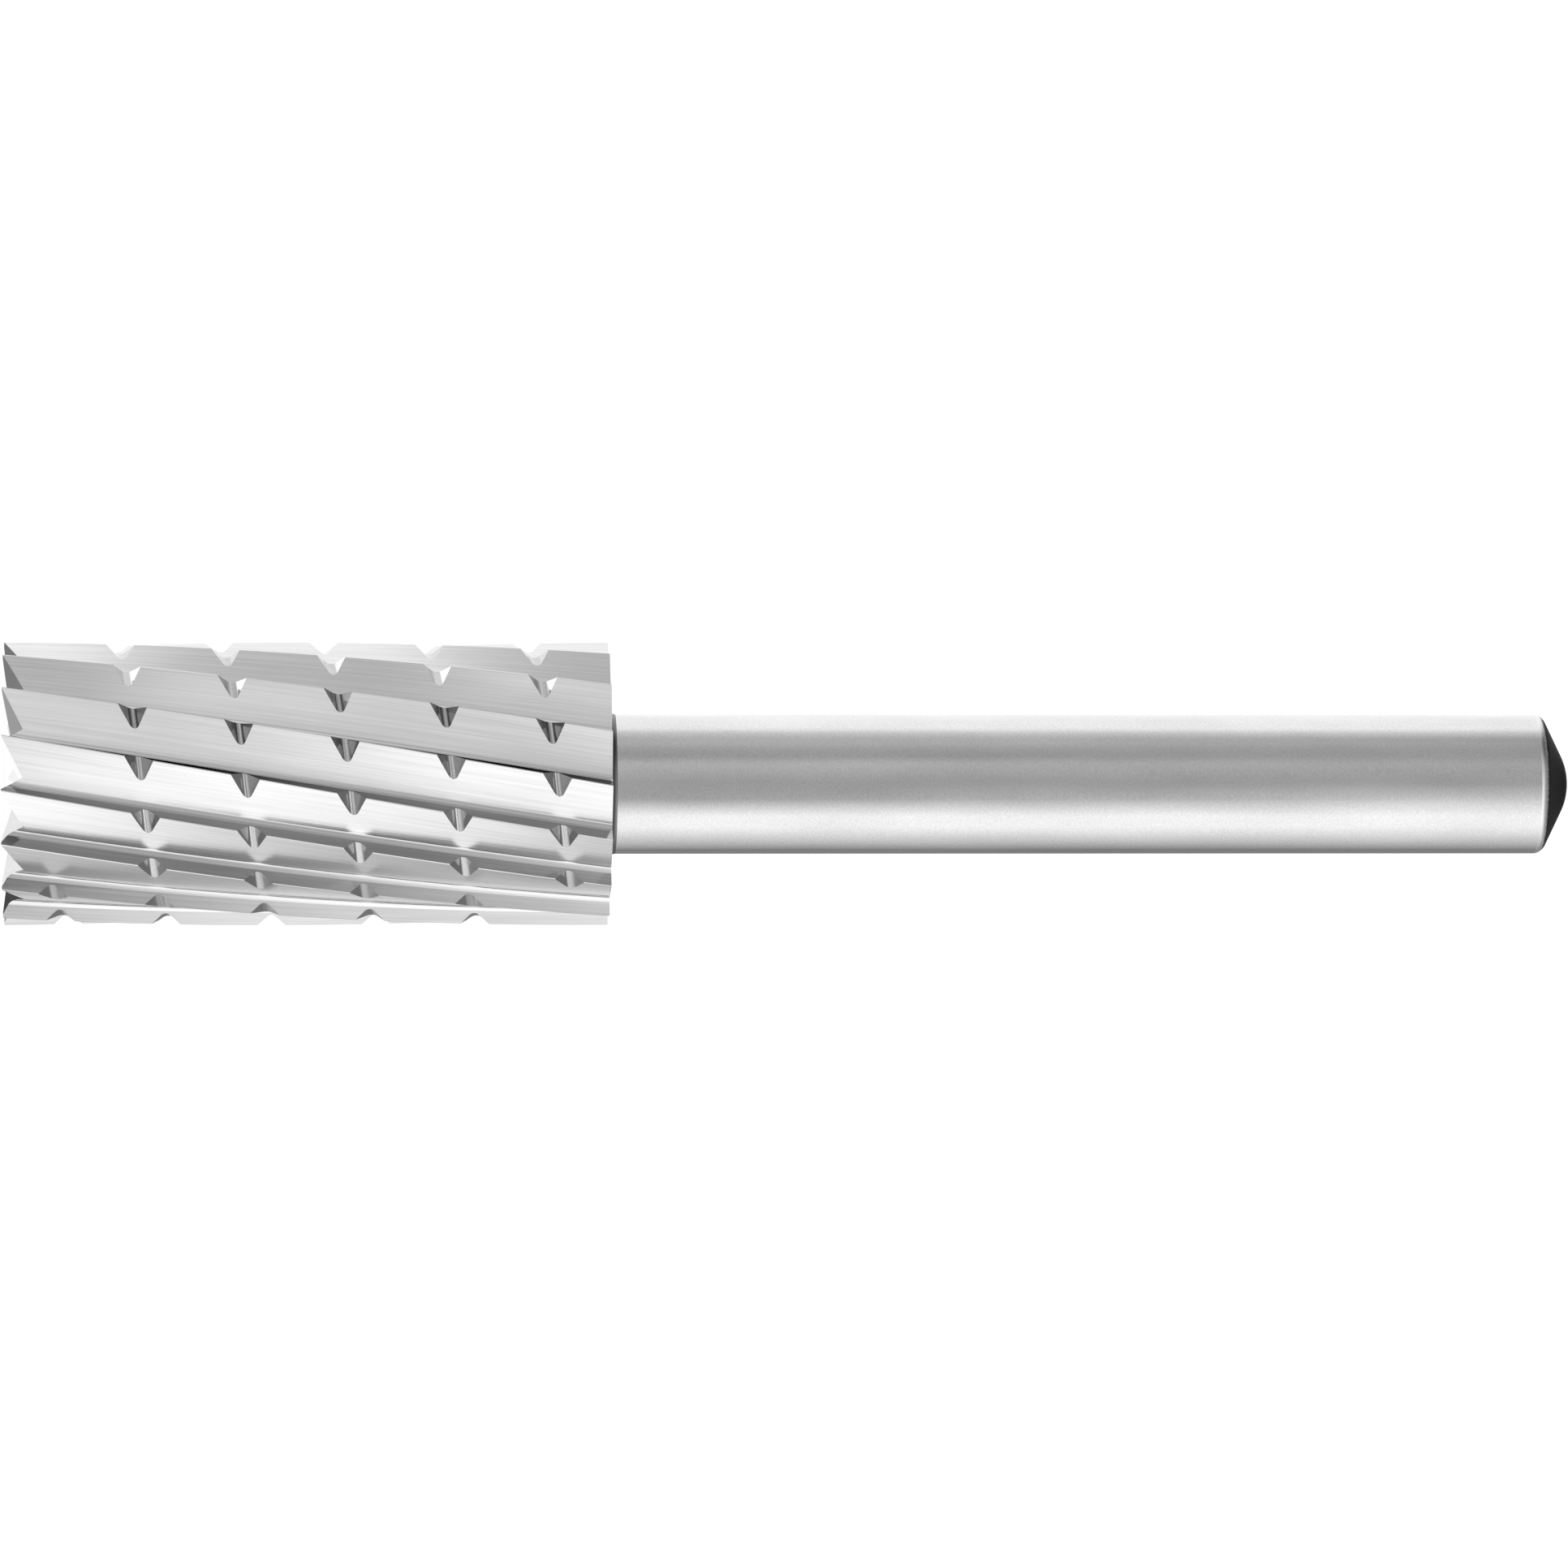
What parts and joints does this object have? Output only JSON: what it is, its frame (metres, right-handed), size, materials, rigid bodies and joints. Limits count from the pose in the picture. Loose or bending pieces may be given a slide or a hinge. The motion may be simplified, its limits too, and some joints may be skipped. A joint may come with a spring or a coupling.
{
  "type": "rotary burr",
  "caption": "One-piece cylindrical rotary burr: coarse helical side teeth notched by a chip breaker, an end cut on the front face, and a plain round shank with a coned end",
  "frame": {"origin": "centre of the circle of end-tooth tips, on the surface that the burr stands on", "axes": "+Z runs along the tool's axis from the toothed head to the coned end of the shank; -Y is the side that faces the viewer"},
  "size_m": [0.012, 0.012, 0.0672],
  "materials": {
    "ground_steel": "ground bare high-speed steel, satin on the shank, with a black heat-treatment skin on the shank's coned end"
  },
  "bodies": {
    "root": {"rotary_burr": "ground_steel"}
  },
  "joints": []
}
